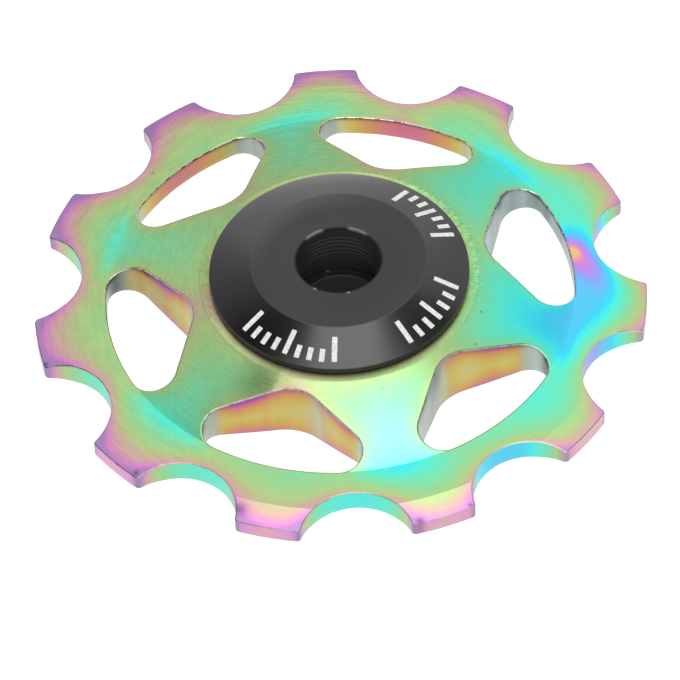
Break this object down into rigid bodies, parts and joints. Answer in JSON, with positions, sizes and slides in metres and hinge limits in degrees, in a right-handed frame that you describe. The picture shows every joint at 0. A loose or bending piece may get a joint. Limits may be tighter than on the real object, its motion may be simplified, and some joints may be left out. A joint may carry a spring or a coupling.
{
  "type": "derailleur jockey wheel",
  "caption": "Toothed guide wheel for a bicycle rear derailleur: windowed conical web with a rainbow film finish, sealed cartridge bearing and black bevelled end caps.",
  "frame": {"origin": "centre of the axle bore, on the middle plane of the teeth", "axes": "+Z along the axle bore towards the front cap, +Y through the tooth that is centred on a spoke"},
  "size_m": [0.0434, 0.0432, 0.0082],
  "materials": {
    "rainbow_aluminium": "polished, with a thin interference film from pink through yellow and green to blue",
    "black_anodised": "satin black anodised",
    "bearing_steel": "ground and polished",
    "cage_nylon": "moulded",
    "seal_rubber": "matt"
  },
  "bodies": {
    "hub": {"front_cap": "black_anodised", "rear_cap": "black_anodised", "bearing_inner_ring": "bearing_steel"},
    "wheel": {"toothed_wheel": "rainbow_aluminium", "bearing_outer_ring": "bearing_steel", "front_seal": "seal_rubber", "rear_seal": "seal_rubber"},
    "cage": {"ball_cage": "cage_nylon"},
    "ball_1": {"ball_1": "bearing_steel"},
    "ball_2": {"ball_2": "bearing_steel"},
    "ball_3": {"ball_3": "bearing_steel"},
    "ball_4": {"ball_4": "bearing_steel"},
    "ball_5": {"ball_5": "bearing_steel"},
    "ball_6": {"ball_6": "bearing_steel"},
    "ball_7": {"ball_7": "bearing_steel"},
    "ball_8": {"ball_8": "bearing_steel"},
    "ball_9": {"ball_9": "bearing_steel"}
  },
  "joints": [
    {"name": "wheel_spin", "type": "hinge", "parent": "hub", "child": "wheel", "pos_m": [0, 0, 0], "axis": [0, 0, 1], "continuous": true},
    {"name": "cage_spin", "type": "hinge", "parent": "hub", "child": "cage", "pos_m": [0, 0, 0], "axis": [0, 0, 1], "continuous": true},
    {"name": "ball_1_spin", "type": "hinge", "parent": "cage", "child": "ball_1", "pos_m": [0, 0.006, 0], "axis": [0, 0, 1], "continuous": true},
    {"name": "ball_2_spin", "type": "hinge", "parent": "cage", "child": "ball_2", "pos_m": [-0.00386, 0.0046, 0], "axis": [0, 0, 1], "continuous": true},
    {"name": "ball_3_spin", "type": "hinge", "parent": "cage", "child": "ball_3", "pos_m": [-0.00591, 0.00104, 0], "axis": [0, 0, 1], "continuous": true},
    {"name": "ball_4_spin", "type": "hinge", "parent": "cage", "child": "ball_4", "pos_m": [-0.0052, -0.003, 0], "axis": [0, 0, 1], "continuous": true},
    {"name": "ball_5_spin", "type": "hinge", "parent": "cage", "child": "ball_5", "pos_m": [-0.00205, -0.00564, 0], "axis": [0, 0, 1], "continuous": true},
    {"name": "ball_6_spin", "type": "hinge", "parent": "cage", "child": "ball_6", "pos_m": [0.00205, -0.00564, 0], "axis": [0, 0, 1], "continuous": true},
    {"name": "ball_7_spin", "type": "hinge", "parent": "cage", "child": "ball_7", "pos_m": [0.0052, -0.003, 0], "axis": [0, 0, 1], "continuous": true},
    {"name": "ball_8_spin", "type": "hinge", "parent": "cage", "child": "ball_8", "pos_m": [0.00591, 0.00104, 0], "axis": [0, 0, 1], "continuous": true},
    {"name": "ball_9_spin", "type": "hinge", "parent": "cage", "child": "ball_9", "pos_m": [0.00386, 0.0046, 0], "axis": [0, 0, 1], "continuous": true}
  ],
  "couplings": [
    {"joint": "cage_spin", "follows": "wheel_spin", "ratio": 0.58333},
    {"joint": "ball_1_spin", "follows": "wheel_spin", "ratio": 2.9167},
    {"joint": "ball_2_spin", "follows": "wheel_spin", "ratio": 2.9167},
    {"joint": "ball_3_spin", "follows": "wheel_spin", "ratio": 2.9167},
    {"joint": "ball_4_spin", "follows": "wheel_spin", "ratio": 2.9167},
    {"joint": "ball_5_spin", "follows": "wheel_spin", "ratio": 2.9167},
    {"joint": "ball_6_spin", "follows": "wheel_spin", "ratio": 2.9167},
    {"joint": "ball_7_spin", "follows": "wheel_spin", "ratio": 2.9167},
    {"joint": "ball_8_spin", "follows": "wheel_spin", "ratio": 2.9167},
    {"joint": "ball_9_spin", "follows": "wheel_spin", "ratio": 2.9167}
  ]
}
